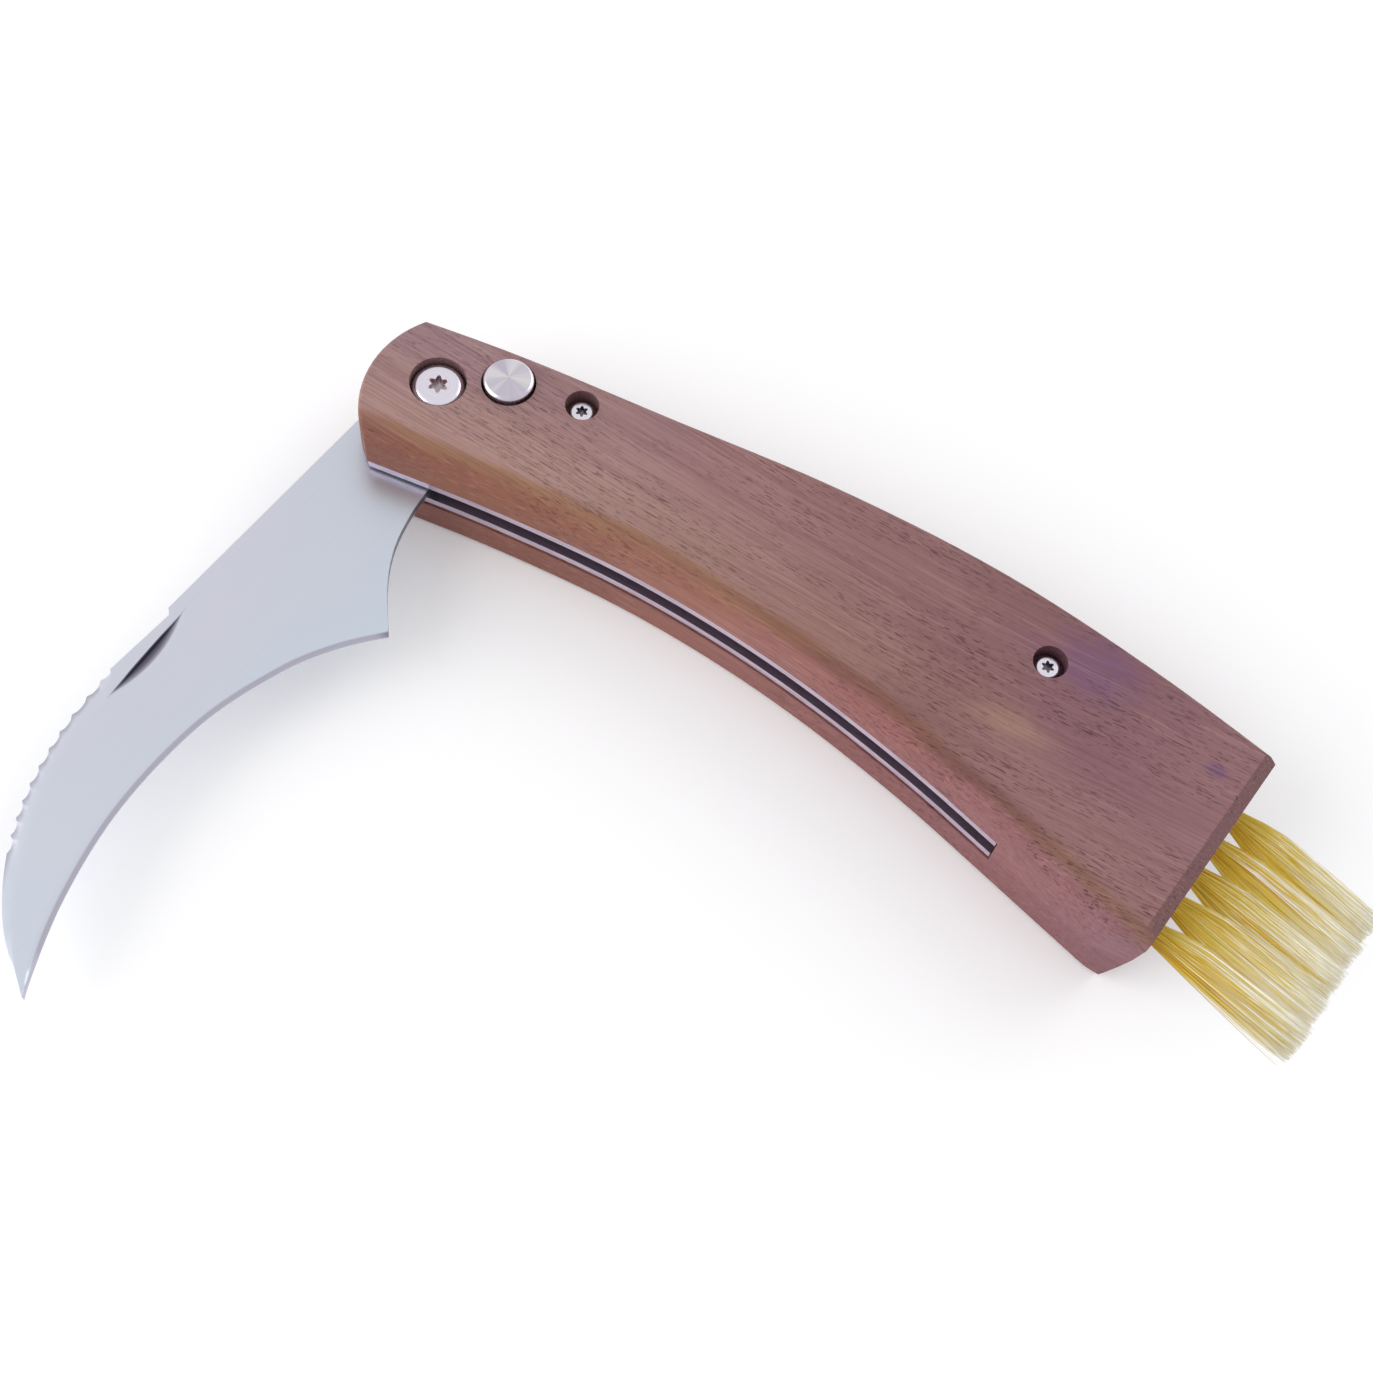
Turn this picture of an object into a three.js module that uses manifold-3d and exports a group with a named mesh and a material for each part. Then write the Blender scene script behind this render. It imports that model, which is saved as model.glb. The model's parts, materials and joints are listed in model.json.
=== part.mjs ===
// Folding mushroom knife with a hawkbill blade, a push-button lock and a tail brush.
// Millimetres. The knife lies on its rear face (z = 0) and +Z runs along the pivot axis.
// Shapes are drawn about the pivot axis, with +X towards the tail and -Y towards the belly;
// the last lines move everything so that the origin is in the middle of the rear face.
import * as THREE from "three";
import { mergeVertices } from "three/addons/utils/BufferGeometryUtils.js";
import Module from "manifold-3d";

const wasm = await Module();
wasm.setup();

// ---------- driving dimensions ----------

const HANDLE_THICK = 17;
const MID_Z = HANDLE_THICK / 2;
const REST_POINT = new THREE.Vector3(60, 5, 0); // middle of the rear face, seen from the pivot

const BLADE_THICK = 1.6;
const LINER_THICK = 1.2;
const LINER_GAP = 2.6;
const SLOT_SIDE_GAP = 0.35; // between a liner and the wood beside it
const LINER_INNER = LINER_GAP / 2; // heights above or below the middle plane
const LINER_OUTER = LINER_INNER + LINER_THICK;
const SLOT_HALF = LINER_OUTER + SLOT_SIDE_GAP;

const PIVOT_BARREL_R = 2.6;
const BLADE_BORE_R = 2.7;
const PIVOT_HEAD = { r: 3.75, top: 0.6, height: 1.7, bore: 4.0, star: 1.5, starDepth: 1.1, rim: 1.25 };
const SMALL_HEAD = { r: 1.7, top: 1.5, height: 1.3, bore: 2.4, star: 0.95, starDepth: 0.8, rim: 0.35 };
const PIVOT_SHANK_R = 1.5;
const THREAD_DEPTH = 2; // of the barrel's thread below the middle plane
const HEAD_GAP = 0.3; // between the top of the barrel and the screw's head
const SMALL_SHANK_R = 0.95;
const THREAD_GAP = 0.1;
const HEAD_STEPS = 4; // facets of a head's rounded rim
const HEAD_SQUASH = 0.8; // height of that rounding against its width
const STAR_WAVE = 0.2; // share of a star recess's reach that its lobes swing by
const WASHER = { r: 5.4, bore: 2.75, thick: 0.36 };

const LOCK_AT = new THREE.Vector2(8.03, 5.59);
const FORE_SCREW_AT = new THREE.Vector2(18.44, 8.45);
const AFT_SCREW_AT = new THREE.Vector2(91.77, 11.29);
const STANDOFF_R = 1.8;

const TANG_R = 7.6;
const LOCK_R = 3.2; // the stout part of the plunger that the blade's notches seat on
const NECK_R = 1.75;
const LOCK_CLEAR = 0.15;
const LOCK_EDGE = 0.3; // chamfer at the bottom of the plunger
const CLOSE_TURN = THREE.MathUtils.degToRad(84); // from the half-open rest pose
const OPEN_TURN = THREE.MathUtils.degToRad(-73);
const BUTTON = { r: 3.55, rim: 1.0, dome: 0.45, bottom: HANDLE_THICK - 3.4, edge: 0.35, bore: 3.85 };
const NECK_DEPTH = 2.4; // how far the plunger's neck goes into the button
const LOCK_HEIGHT = 2.4; // of the plunger's stout part
const SPRING = { r: 2.35, wire: 0.25, turns: 2.25, steps: 60 };
const SPRING_CAP = { r: 3.8, bore: 3.9, top: 1.6, recess: 0.1 };

const CAP_SLOT = { length: 6, width: 0.9, depth: 0.6 };

const TUFT_COUNT = 5;
const TUFT_PITCH = 5.1;
const TUFT_MIDDLE_Y = -0.6;
const TUFT_LEAN = THREE.MathUtils.degToRad(-9.5);
const TUFT_FAN = THREE.MathUtils.degToRad(-1); // the tufts draw together towards their tips
const TUFT_LENGTH = 22.5; // outside the wood
const TUFT_ROOT_R = 1.7;
const TUFT_BORE = { r: 1.9, depth: 13.2 };
const TUFT_DEPTH = 11.4;
const TUFT_WAIST = { across: 2.25, thick: 2.4, share: 0.2 }; // where the bundle has opened out
const TUFT_TIP = { across: 2.15, thick: 2.9 };
const ANCHOR = { thick: 0.35, width: 3.2, length: 1.4, below: 1.0 };

const FINE = 36; // facets round a bore or a shaft
const ROUGH = 20; // facets round a small screw
const EDGE_STEPS = 5; // bands of a rounded edge
// Points of each run of an outline.
const OUTLINE = { belly: 40, lift: 5, tail: 2, spine: 34, arc: 18, roof: 22, corner: 4 };

// ---------- outline curves of the handle ----------

const SPINE = new THREE.SplineCurve(
  [[-20, 4.6], [5, 10.2], [30, 14.25], [55, 18.15], [80, 19.85], [105, 18.5], [130, 15.2]]
    .map(([x, y]) => new THREE.Vector2(x, y)));
const BELLY = new THREE.SplineCurve(
  [[-16, -15.3], [-6, -14.0], [16, -9.9], [38, -7.3], [60, -7.35], [82, -9.85], [104, -14.2], [126, -18.75]]
    .map(([x, y]) => new THREE.Vector2(x, y)));
const FRONT_ARC = { x: 5.75, y: -0.5, r: 15.35 };
const TAIL_X = 122.5; // where the tail face crosses y = 0
const TAIL_SLOPE = 0.08;
const SPINE_ROUND = { width: 0.8, depth: 0.8 };
const FRONT_ROUND = { width: 0.6, depth: 0.6 };
// The button side has a wide rounding along the belly and a flat chamfer at the tail. The rear
// face keeps a crisper belly edge, but its tail slopes away far up the end of the handle.
const BUTTON_SIDE = {
  belly: { width: 3.2, depth: 2.8 },
  tail: { width: 1.8, depth: 1.5, bow: 1 },
};
const REAR_SIDE = {
  belly: { width: 1.1, depth: 1.1 },
  tail: { width: 2.9, depth: 14, bow: 1.4 },
};
const LIFT = { from: 115.5, to: 121, rise: 1.6, rearShare: 0.5 }; // the belly's lift beside the tail
const BELLY_FADE = { from: -3, to: 22 }; // the belly rounding grows between these places
const CUTTER_R = 5; // corner of the slot where its roof meets its end
const SLOT_REACH = { x: -18, y: -30 }; // the slot is open past the pivot end and the belly
const SLOT_END_X = 99.9; // where the slot's tail end crosses y = 0
const SLOT_END_SLOPE = 0.117;
const LINER_EDGE_GAP = 0.2;

/** The value where a rising function of one number crosses zero. */
function crossing(low, high, f) {
  for (let step = 0; step < 40; step += 1) {
    const middle = (low + high) / 2;
    if (f(middle) < 0) low = middle;
    else high = middle;
  }
  return (low + high) / 2;
}

/** Height of a spline at a place along X. */
function heightAt(curve, x) {
  const t = crossing(0, 1, (s) => curve.getPoint(s).x - x);
  return curve.getPoint(t).y;
}

/** Wood left between the blade slot and the spine, thicker towards the tail. */
function spineWall(x) {
  return 1.0 + 0.03 * Math.max(0, x - 12);
}

/** How far an edge draws in at a depth below the face: a slope that may bow, or a quarter round. */
function edgeInset(depth, edge) {
  if (depth >= edge.depth) return 0;
  const rest = (edge.depth - depth) / edge.depth;
  if (edge.bow) return edge.width * rest ** edge.bow;
  return edge.width * (1 - Math.sqrt(1 - rest * rest));
}

/** Belly edge rounding fades out towards the pivot end, and the corner beside the tail lifts a little. */
function bellyInset(x, depth, side) {
  const share = THREE.MathUtils.smoothstep(x, BELLY_FADE.from, BELLY_FADE.to);
  const width = THREE.MathUtils.lerp(SPINE_ROUND.width, side.belly.width, share);
  const nearRear = side === REAR_SIDE ? Math.max(0, 1 - depth / side.tail.depth) : 0;
  const rise = LIFT.rise * THREE.MathUtils.lerp(1, LIFT.rearShare, nearRear);
  const lift = rise * THREE.MathUtils.smoothstep(x, LIFT.from, LIFT.to);
  return edgeInset(depth, { width, depth: side.belly.depth }) + lift;
}

/** The handle's outline, anticlockwise, drawn in by what its edges lose at a depth below a face. */
function handleOutline(side, depth, extra = 0) {
  const spine = (x) => heightAt(SPINE, x) - edgeInset(depth, SPINE_ROUND) - extra;
  const belly = (x) => heightAt(BELLY, x) + bellyInset(x, depth, side) + extra;
  const arcR = FRONT_ARC.r - edgeInset(depth, FRONT_ROUND) - extra;
  const tail = (y) => TAIL_X + TAIL_SLOPE * y - edgeInset(depth, side.tail) - extra;
  const outside = (x, y) => Math.hypot(x - FRONT_ARC.x, y - FRONT_ARC.y) - arcR;
  const frontTop = crossing(-12, -2, (x) => -outside(x, spine(x)));
  const frontLow = crossing(-8, 4, (x) => -outside(x, belly(x)));
  const tailTop = crossing(110, 128, (x) => x - tail(spine(x)));
  const tailLow = crossing(110, 125, (x) => x - tail(belly(x)));
  const points = [];
  const along = (count, from, to, place) => {
    for (let i = 0; i < count; i += 1) points.push(place(from + ((to - from) * i) / count));
  };
  along(OUTLINE.belly, frontLow, LIFT.from, (x) => new THREE.Vector2(x, belly(x)));
  along(OUTLINE.lift, LIFT.from, tailLow, (x) => new THREE.Vector2(x, belly(x)));
  along(OUTLINE.tail, belly(tailLow), spine(tailTop), (y) => new THREE.Vector2(tail(y), y));
  along(OUTLINE.spine, tailTop, frontTop, (x) => new THREE.Vector2(x, spine(x)));
  const angleOf = (x, y) => (Math.atan2(y - FRONT_ARC.y, x - FRONT_ARC.x) + 2 * Math.PI) % (2 * Math.PI);
  const arcPoint = (a) =>
    new THREE.Vector2(FRONT_ARC.x + arcR * Math.cos(a), FRONT_ARC.y + arcR * Math.sin(a));
  const turnFrom = angleOf(frontTop, spine(frontTop));
  const turnTo = angleOf(frontLow, belly(frontLow));
  along(OUTLINE.arc, turnFrom, turnTo, arcPoint);
  return points;
}

/** Side view of the blade slot; inset shrinks it into the outline of a liner. */
function slotOutline(inset) {
  const end = (y) => SLOT_END_X + SLOT_END_SLOPE * y - inset;
  const roof = (x) => heightAt(SPINE, x) - spineWall(x) - inset;
  const topX = end(roof(SLOT_END_X));
  const points = [
    new THREE.Vector2(SLOT_REACH.x, SLOT_REACH.y),
    new THREE.Vector2(end(SLOT_REACH.y), SLOT_REACH.y),
  ];
  for (let i = 0; i <= OUTLINE.corner; i += 1) {
    const a = (i / OUTLINE.corner) * (Math.PI / 2);
    const y = roof(topX) - CUTTER_R + CUTTER_R * Math.sin(a);
    points.push(new THREE.Vector2(end(y) - CUTTER_R + CUTTER_R * Math.cos(a), y));
  }
  for (let i = 1; i <= OUTLINE.roof; i += 1) {
    const x = THREE.MathUtils.lerp(topX - CUTTER_R, SLOT_REACH.x, i / OUTLINE.roof);
    points.push(new THREE.Vector2(x, roof(x)));
  }
  return points;
}

// ---------- solids ----------

/** A closed three.js geometry as a manifold solid. */
function solid(geometry) {
  geometry.deleteAttribute("normal");
  geometry.deleteAttribute("uv");
  const merged = mergeVertices(geometry, 1e-4);
  return new wasm.Manifold(new wasm.Mesh({
    numProp: 3,
    vertProperties: new Float32Array(merged.attributes.position.array),
    triVerts: new Uint32Array(merged.index.array),
  }));
}

/** A manifold solid as a three.js geometry. */
function geometryOf(body) {
  const mesh = body.getMesh();
  const geometry = new THREE.BufferGeometry();
  geometry.setAttribute("position", new THREE.BufferAttribute(mesh.vertProperties, 3));
  geometry.setIndex(new THREE.BufferAttribute(mesh.triVerts, 1));
  geometry.computeVertexNormals();
  return geometry;
}

function prism(points, low, high) {
  const shape = new THREE.Shape(points);
  const geometry = new THREE.ExtrudeGeometry(shape, { depth: high - low, bevelEnabled: false });
  return solid(geometry.translate(0, 0, low));
}

function drum(r, low, high, at = new THREE.Vector2(), facets = FINE) {
  const geometry = new THREE.CylinderGeometry(r, r, high - low, facets);
  return solid(geometry.rotateX(Math.PI / 2).translate(at.x, at.y, (low + high) / 2));
}

/** A turned solid about Z through a point; the profile is [radius, height] from axis to axis. */
function turned(profile, at = new THREE.Vector2(), facets = FINE) {
  const points = profile.map(([r, z]) => new THREE.Vector2(r, z));
  return solid(new THREE.LatheGeometry(points, facets).rotateX(Math.PI / 2).translate(at.x, at.y, 0));
}

/** A skin through rings of equal length, lowest first, closed with a flat cap at each end. */
function loft(rings) {
  const count = rings[0].length;
  const positions = rings.flat().flatMap((p) => [p.x, p.y, p.z]);
  const faces = [];
  for (let k = 0; k + 1 < rings.length; k += 1) {
    for (let i = 0; i < count; i += 1) {
      const a = k * count + i;
      const b = k * count + ((i + 1) % count);
      faces.push(a, b, b + count, a, b + count, a + count);
    }
  }
  const last = (rings.length - 1) * count;
  for (const [a, b, c] of THREE.ShapeUtils.triangulateShape(rings[0], [])) faces.push(a, c, b);
  for (const [a, b, c] of THREE.ShapeUtils.triangulateShape(rings.at(-1), [])) {
    faces.push(last + a, last + b, last + c);
  }
  const geometry = new THREE.BufferGeometry();
  geometry.setAttribute("position", new THREE.Float32BufferAttribute(positions, 3));
  geometry.setIndex(faces);
  return solid(geometry);
}

/** The same thing seen from the other side: mirrored through the handle's middle plane. */
function mirrored(body) {
  return body.mirror([0, 0, 1]).translate([0, 0, HANDLE_THICK]);
}

/** A six-lobed driver recess that opens upwards at a height. */
function starRecess(head, top, at) {
  const points = [];
  for (let i = 0; i < 36; i += 1) {
    const a = (i / 36) * 2 * Math.PI;
    const r = head.star * (1 - STAR_WAVE + STAR_WAVE * Math.cos(6 * a));
    points.push(new THREE.Vector2(at.x + r * Math.cos(a), at.y + r * Math.sin(a)));
  }
  return prism(points, top - head.starDepth, top + 1);
}

// ---------- the pieces ----------

/** Turns a geometry drawn along +Z to a tuft's place in the tail, counted from the belly. */
function placeAtTail(geometry, index) {
  const step = index - (TUFT_COUNT - 1) / 2;
  const y = TUFT_MIDDLE_Y + step * TUFT_PITCH;
  const lean = TUFT_LEAN + step * TUFT_FAN;
  return geometry.rotateY(Math.PI / 2).rotateZ(lean).translate(TAIL_X + TAIL_SLOPE * y, y, MID_Z);
}

/** Depths below a face at which the outline changes, closer together near the face. */
function edgeDepths(side) {
  const depths = [];
  for (const edge of [side.belly, side.tail]) {
    for (let i = EDGE_STEPS; i >= 0; i -= 1) {
      depths.push(edge.depth * (1 - Math.sin((i / EDGE_STEPS) * (Math.PI / 2))));
    }
  }
  return [...new Set(depths)].sort((a, b) => a - b);
}

function handleBlank() {
  const ring = (side, depth, z) =>
    handleOutline(side, depth).map((p) => new THREE.Vector3(p.x, p.y, z));
  const lower = edgeDepths(REAR_SIDE).map((depth) => ring(REAR_SIDE, depth, depth));
  const upper = edgeDepths(BUTTON_SIDE).map((depth) => ring(BUTTON_SIDE, depth, HANDLE_THICK - depth));
  return loft([...lower, ...upper.reverse()]);
}

/** Seat and bore of a screw head in the front face, down to the blade slot. */
function screwHole(head, shankR, at, facets) {
  const seat = HANDLE_THICK - head.top - head.height;
  return drum(head.bore, seat, HANDLE_THICK + 1, at, facets)
    .add(drum(shankR + THREAD_GAP, MID_Z, seat + 1, at, facets));
}

function handleBody() {
  let body = handleBlank();
  body = body.subtract(prism(slotOutline(0), MID_Z - SLOT_HALF, MID_Z + SLOT_HALF));
  const pivot = screwHole(PIVOT_HEAD, PIVOT_BARREL_R, new THREE.Vector2(), FINE);
  body = body.subtract(pivot).subtract(mirrored(pivot));
  for (const at of [FORE_SCREW_AT, AFT_SCREW_AT]) {
    const hole = screwHole(SMALL_HEAD, SMALL_SHANK_R, at, ROUGH);
    body = body.subtract(hole).subtract(mirrored(hole));
  }
  body = body.subtract(drum(BUTTON.bore, MID_Z, HANDLE_THICK + 1, LOCK_AT));
  body = body.subtract(drum(LOCK_R + 2 * LOCK_CLEAR, SPRING_CAP.top, MID_Z, LOCK_AT));
  body = body.subtract(drum(SPRING_CAP.bore, -1, SPRING_CAP.top, LOCK_AT));
  for (let i = 0; i < TUFT_COUNT; i += 1) {
    const past = 3; // the bore's cutter reaches this far out of the tail
    const bore = new THREE.CylinderGeometry(TUFT_BORE.r, TUFT_BORE.r, TUFT_BORE.depth + past, ROUGH);
    bore.rotateX(Math.PI / 2).translate(0, 0, (past - TUFT_BORE.depth) / 2);
    body = body.subtract(solid(placeAtTail(bore, i)));
  }
  return body;
}

/** A steel liner that lines one side of the slot, with its bores. */
function liner(low, high, lockBore) {
  let body = prism(handleOutline(BUTTON_SIDE, MID_Z, LINER_EDGE_GAP), low, high);
  body = body.intersect(prism(slotOutline(LINER_EDGE_GAP), low, high));
  const bores = [
    [new THREE.Vector2(), PIVOT_BARREL_R + THREAD_GAP],
    [LOCK_AT, lockBore],
    [FORE_SCREW_AT, SMALL_SHANK_R + THREAD_GAP],
    [AFT_SCREW_AT, SMALL_SHANK_R + THREAD_GAP],
  ];
  for (const [at, r] of bores) body = body.subtract(drum(r, low - 1, high + 1, at));
  return body;
}

// Blade outline in the half-open rest pose, in runs that meet end to end, anticlockwise.
const BACK_TOP = new THREE.Vector2(-8.05, -0.6);
const BACK_STEP = new THREE.Vector2(-11.2, -46.3);
const STEP_WIDTH = 0.75;
const SWEDGE_START = new THREE.Vector2(-11.65, -57.7);
const BLADE_TIP = new THREE.Vector2(8.2, -98.1);
const HEEL = new THREE.Vector2(15.1, -32.7);
const CHOIL_TOP = new THREE.Vector2(6.2, -12.1);
const BACK_CURVE = new THREE.SplineCurve([SWEDGE_START, new THREE.Vector2(-11.3, -67.4),
  new THREE.Vector2(-9.3, -76.8), new THREE.Vector2(-5.6, -84.9), new THREE.Vector2(0.4, -92.5), BLADE_TIP]);
const EDGE_CURVE = new THREE.SplineCurve([BLADE_TIP, new THREE.Vector2(4.0, -85.9),
  new THREE.Vector2(1.8, -72.2), new THREE.Vector2(2.7, -57.2), new THREE.Vector2(6.5, -45.2),
  new THREE.Vector2(10.6, -38.0), HEEL]);
const CHOIL_CURVE = new THREE.SplineCurve([HEEL, new THREE.Vector2(10.9, -27.3),
  new THREE.Vector2(8.2, -22.4), new THREE.Vector2(6.8, -17.5), CHOIL_TOP, new THREE.Vector2(6.1, -4.4)]);
// A ground edge: inwards from the rim, a steep facet up to its shoulder, then a shallow one.
const KEEN = { width: 1.15, shoulder: 0.4, shoulderHalf: 0.62, rimHalf: 0.15 };
const SWEDGE = { width: 2.6, shoulder: 1.3, shoulderHalf: 0.7, rimHalf: 0.6 };
const RIM_STEPS = { blend: 6, back: 12, edge: 56, choil: 20 };
const TEETH = { count: 11, share: 0.6, depth: 0.42, steps: 4 };
const LEAST_SHARE = 0.08; // a fading bevel keeps at least this share of its drop
const BEVEL_FADE = 7; // the bevels narrow over this length before the tip
const NICK = { x: -9.4, y: -53.2, length: 16.8, depth: 0.55, wall: 0.15, width: 2.1 };

/** Share of its full width that a bevel keeps near the tip. */
function fadeAtTip(point) {
  return Math.min(1, point.distanceTo(BLADE_TIP) / BEVEL_FADE);
}

/** A point of a run: where its rim is, where its shoulder, and where it meets the blade's flat.
 *  The halves are how far the rim and the shoulder stand from the middle plane. */
function rimPoint(curve, t, ground, share, bite = 0) {
  const at = curve.getPoint(t);
  const run = curve.getTangent(t);
  const inward = new THREE.Vector2(-run.y, run.x);
  const kept = share * fadeAtTip(at);
  const thin = (half) => THREE.MathUtils.lerp(BLADE_THICK / 2, half, Math.max(share, LEAST_SHARE));
  return {
    shoulderHalf: thin(ground.shoulderHalf),
    rimHalf: thin(ground.rimHalf),
    rim: at.clone().addScaledVector(inward, bite),
    shoulder: at.clone().addScaledVector(inward, Math.max(bite, ground.shoulder * kept)),
    flat: at.clone().addScaledVector(inward, Math.max(bite, ground.width * kept)),
  };
}

/** How deep the scallops bite along the serrated back. */
function scallopBite(t) {
  if (t >= TEETH.share) return 0;
  const place = ((t / TEETH.share) * TEETH.count) % 1;
  return TEETH.depth * Math.sin(place * Math.PI) ** 0.6;
}

/** The blade's rim points, anticlockwise from the back beside the pivot. */
function bladeRims() {
  const { shoulderHalf, rimHalf } = SWEDGE;
  const plain = (point) => ({ shoulderHalf, rimHalf, rim: point, shoulder: point, flat: point });
  const rims = [plain(BACK_TOP), plain(BACK_STEP)];
  rims.push(plain(new THREE.Vector2(BACK_STEP.x + STEP_WIDTH, BACK_STEP.y - STEP_WIDTH)));
  rims.push(plain(new THREE.Vector2(SWEDGE_START.x + 0.1, SWEDGE_START.y + 0.4)));
  const teethSteps = TEETH.count * TEETH.steps;
  for (let i = 0; i < teethSteps; i += 1) {
    const t = (i / teethSteps) * TEETH.share;
    rims.push(rimPoint(BACK_CURVE, t, SWEDGE, Math.min(1, i / RIM_STEPS.blend), scallopBite(t)));
  }
  for (let i = 0; i < RIM_STEPS.back; i += 1) {
    const share = i / RIM_STEPS.back;
    const t = THREE.MathUtils.lerp(TEETH.share, 1, share);
    rims.push(rimPoint(BACK_CURVE, t, SWEDGE, 1 - share));
  }
  for (let i = 0; i <= RIM_STEPS.edge; i += 1) {
    rims.push(rimPoint(EDGE_CURVE, i / RIM_STEPS.edge, KEEN, 1));
  }
  for (let i = 1; i <= RIM_STEPS.choil; i += 1) rims.push(plain(CHOIL_CURVE.getPoint(i / RIM_STEPS.choil)));
  return rims;
}

/** The blade before boring: full thickness on its flats, thin at its rims. */
function bladeBlank() {
  const rims = bladeRims();
  const levels = [
    ["flat", () => BLADE_THICK / 2],
    ["shoulder", (p) => p.shoulderHalf],
    ["rim", (p) => p.rimHalf],
  ];
  const ring = ([kind, half], side) =>
    rims.map((p) => new THREE.Vector3(p[kind].x, p[kind].y, MID_Z + side * half(p)));
  const below = levels.map((level) => ring(level, -1));
  const above = levels.map((level) => ring(level, 1));
  return loft([...below, ...above.reverse()]);
}

/** The wheel that grinds the nail nick: a steep wall on one side and a long slope on the other. */
function nickWheel() {
  const r = (NICK.length ** 2 / 4 + NICK.depth ** 2) / (2 * NICK.depth);
  const rim = [[0, 0], [r - NICK.depth, 0], [r, NICK.wall], [r - NICK.depth, NICK.width], [0, NICK.width]];
  const points = rim.map(([radius, along]) => new THREE.Vector2(radius, along));
  const wheel = new THREE.LatheGeometry(points, 360).rotateZ(-Math.PI / 2);
  const top = MID_Z + BLADE_THICK / 2;
  return solid(wheel.translate(NICK.x, NICK.y, top - NICK.depth + r));
}

/** A lock notch in the tang, where the plunger stands once the blade has turned. */
function lockNotch(turn) {
  const at = LOCK_AT.clone().rotateAround(new THREE.Vector2(), -turn);
  return drum(LOCK_R + LOCK_CLEAR, 0, HANDLE_THICK, at);
}

function blade() {
  const low = MID_Z - BLADE_THICK / 2;
  return bladeBlank()
    .add(drum(TANG_R, low, low + BLADE_THICK, new THREE.Vector2(), 60))
    .subtract(lockNotch(CLOSE_TURN))
    .subtract(lockNotch(OPEN_TURN))
    .subtract(drum(BLADE_BORE_R, 0, HANDLE_THICK))
    .subtract(nickWheel());
}

function washer() {
  const low = MID_Z + BLADE_THICK / 2 + (LINER_INNER - BLADE_THICK / 2 - WASHER.thick) / 2;
  return drum(WASHER.r, low, low + WASHER.thick).subtract(drum(WASHER.bore, 0, HANDLE_THICK));
}

/** A domed screw head in the front face with its shank below. */
function screw(head, shankR, tip, at, facets) {
  const top = HANDLE_THICK - head.top;
  const seat = top - head.height;
  const profile = [[0, tip], [shankR, tip], [shankR, seat], [head.r, seat]];
  for (let i = 0; i <= HEAD_STEPS; i += 1) {
    const a = (i / HEAD_STEPS) * (Math.PI / 2);
    profile.push([head.r - head.rim * (1 - Math.cos(a)), top - HEAD_SQUASH * head.rim * (1 - Math.sin(a))]);
  }
  profile.push([0, top]);
  return turned(profile, at, facets).subtract(starRecess(head, top, at));
}

/** The pivot's threaded barrel: a plain rear head and a sleeve that the blade turns on. */
function pivotBarrel() {
  const head = PIVOT_HEAD;
  const top = HANDLE_THICK - head.top;
  const seat = top - head.height;
  const rear = [[0, top], [head.r - head.rim, top], [head.r, top - head.rim], [head.r, seat], [0, seat]];
  const cap = mirrored(turned(rear.reverse()));
  const sleeveTop = seat - HEAD_GAP;
  const sleeveLow = HANDLE_THICK - seat - HEAD_GAP; // runs a little way into the head
  const body = cap.add(drum(PIVOT_BARREL_R, sleeveLow, sleeveTop));
  return body.subtract(drum(PIVOT_SHANK_R + THREAD_GAP, MID_Z - THREAD_DEPTH, sleeveTop + 1));
}

function standoff(at) {
  const gap = 0.05;
  const low = MID_Z - LINER_INNER + gap;
  const high = MID_Z + LINER_INNER - gap;
  return drum(STANDOFF_R, low, high, at, ROUGH)
    .subtract(drum(SMALL_SHANK_R + THREAD_GAP, 0, HANDLE_THICK, at, ROUGH));
}

/** The steel cap that the thumb presses: a spun, very shallow cone. */
function lockButton() {
  const rim = HANDLE_THICK + BUTTON.rim;
  const cap = turned([[0, BUTTON.bottom], [BUTTON.r, BUTTON.bottom], [BUTTON.r, rim - BUTTON.edge],
    [BUTTON.r - BUTTON.edge, rim], [0, rim + BUTTON.dome]], LOCK_AT);
  const pocketTop = BUTTON.bottom + NECK_DEPTH + 2 * THREAD_GAP;
  return cap.subtract(drum(NECK_R + THREAD_GAP, BUTTON.bottom - 1, pocketTop, LOCK_AT));
}

/** Neck and lock section under the button; the section stands just clear below the blade. */
function lockPlunger() {
  const top = MID_Z - BLADE_THICK / 2 - LOCK_CLEAR;
  const low = top - LOCK_HEIGHT;
  const neckTop = BUTTON.bottom + NECK_DEPTH;
  return turned([[0, low], [LOCK_R - LOCK_EDGE, low], [LOCK_R, low + LOCK_EDGE], [LOCK_R, top], [NECK_R, top],
    [NECK_R, neckTop], [0, neckTop]], LOCK_AT);
}

class Helix extends THREE.Curve {
  constructor(r, low, high, turns) {
    super();
    this.size = { r, low, high, turns };
  }

  getPoint(t, target = new THREE.Vector3()) {
    const { r, low, high, turns } = this.size;
    const a = t * turns * 2 * Math.PI;
    return target.set(LOCK_AT.x + r * Math.cos(a), LOCK_AT.y + r * Math.sin(a), low + (high - low) * t);
  }
}

function lockSpring() {
  const gap = 0.05;
  const low = SPRING_CAP.top + SPRING.wire + gap;
  const high = MID_Z - BLADE_THICK / 2 - LOCK_CLEAR - LOCK_HEIGHT - SPRING.wire - gap;
  const section = new THREE.Shape().absarc(0, 0, SPRING.wire, 0, 2 * Math.PI);
  const path = new Helix(SPRING.r, low, high, SPRING.turns);
  const wire = { extrudePath: path, steps: SPRING.steps, curveSegments: 3 };
  return solid(new THREE.ExtrudeGeometry(section, wire));
}

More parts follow.
